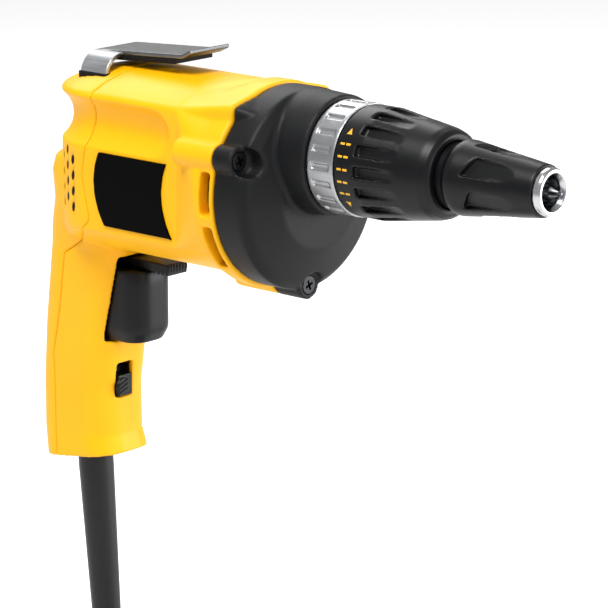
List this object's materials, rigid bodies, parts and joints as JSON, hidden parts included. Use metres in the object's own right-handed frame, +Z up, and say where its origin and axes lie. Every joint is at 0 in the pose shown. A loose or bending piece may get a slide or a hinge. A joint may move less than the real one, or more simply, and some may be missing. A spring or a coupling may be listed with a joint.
{
  "type": "drywall screwdriver",
  "caption": "Corded pistol-grip drywall screwdriver: motor housing, gear case, depth collar, sliding nosepiece, bit, trigger, reverse lever, lock slider, belt hook and coiled cord.",
  "frame": {"origin": "middle of the hand grip, on the tool's middle plane", "axes": "+X forward to the nose, +Y to the tool's left, +Z up"},
  "size_m": [0.2768, 0.1632, 0.3429],
  "materials": {
    "yellow_moulding": "satin, fine grained",
    "black_case": "matt, grained",
    "black_moulding": "satin",
    "black_plate": "semi gloss",
    "hook_steel": "brushed",
    "black_liner": "matt",
    "ring_alloy": "satin",
    "tip_steel": "bright",
    "tool_steel": "machined",
    "spring_steel": "drawn wire",
    "black_screws": "black oxide",
    "bearing_steel": "ground",
    "bronze": "machined",
    "core_steel": "stacked sheet",
    "copper": "enamelled wire",
    "carbon": "matt",
    "grey_moulding": "moulded",
    "cord_rubber": "satin",
    "tie_strap": "matt",
    "pin_brass": "bright"
  },
  "bodies": {
    "tool": {"bearing_plate": "grey_moulding", "belt_hook": "hook_steel", "brush_holders": "bronze", "carbon_brushes": "carbon", "coil_tie": "tie_strap", "cord_boot": "cord_rubber", "cord_clamp": "grey_moulding", "cord_coil": "cord_rubber", "cord_drop": "cord_rubber", "cord_tail": "cord_rubber", "cover_screws": "black_screws", "detent_ring": "ring_alloy", "field_coils": "copper", "field_housing": "yellow_moulding", "front_bearing": "bearing_steel", "gear_bush": "bronze", "gear_case": "black_case", "gear_case_screws": "black_screws", "handle_cover": "yellow_moulding", "hook_liner": "black_liner", "inner_lead": "cord_rubber", "nameplate_left": "black_plate", "nameplate_right": "black_plate", "plug_body": "cord_rubber", "plug_pins": "pin_brass", "rear_bearing": "bearing_steel", "spindle_bush": "bronze", "stator_core": "core_steel", "switch_body": "grey_moulding", "trigger_spring": "spring_steel"},
    "armature": {"armature_shaft": "tool_steel", "armature_core": "core_steel", "armature_windings": "copper", "commutator": "copper", "fan": "grey_moulding"},
    "gear": {"drive_gear": "tool_steel", "clutch_spring": "spring_steel"},
    "spindle_group": {"spindle": "tool_steel", "bit_holder": "tool_steel", "driver_bit": "tool_steel"},
    "collar": {"depth_collar": "black_moulding"},
    "nose": {"nosepiece": "black_moulding", "locator_tip": "tip_steel"},
    "trigger_piece": {"trigger": "black_moulding"},
    "lever": {"reverse_lever": "black_moulding"},
    "lock": {"lock_slider": "black_moulding"}
  },
  "joints": [
    {"name": "armature_spin", "type": "hinge", "parent": "tool", "child": "armature", "pos_m": [0, 0, 0.08], "axis": [1, 0, 0], "continuous": true},
    {"name": "gear_spin", "type": "hinge", "parent": "tool", "child": "gear", "pos_m": [0, 0, 0.0964], "axis": [1, 0, 0], "continuous": true},
    {"name": "spindle_press", "type": "slide", "parent": "gear", "child": "spindle_group", "axis": [-1, 0, 0], "range_m": [0, 0.0032], "stiffness_N_per_m": 3000, "springref_m": -0.001, "deforming": ["clutch_spring"]},
    {"name": "collar_turn", "type": "hinge", "parent": "tool", "child": "collar", "pos_m": [0, 0, 0.0964], "axis": [1, 0, 0], "range_deg": [-180, 180]},
    {"name": "nose_depth", "type": "slide", "parent": "tool", "child": "nose", "axis": [1, 0, 0], "range_m": [-0.003, 0.003]},
    {"name": "trigger_pull", "type": "slide", "parent": "tool", "child": "trigger_piece", "axis": [-1, 0, 0], "range_m": [0, 0.007], "stiffness_N_per_m": 1200, "springref_m": -0.004, "deforming": ["trigger_spring"]},
    {"name": "reverse_swing", "type": "hinge", "parent": "tool", "child": "lever", "pos_m": [0, 0, 0.0351], "axis": [0, 0, 1], "range_deg": [-7, 7]},
    {"name": "lock_slide", "type": "slide", "parent": "tool", "child": "lock", "axis": [0, 0, 1], "range_m": [0, 0.005]}
  ],
  "couplings": [
    {"joint": "gear_spin", "follows": "armature_spin", "ratio": -0.20588},
    {"joint": "nose_depth", "follows": "collar_turn", "m_per_rad": 0.000954}
  ]
}
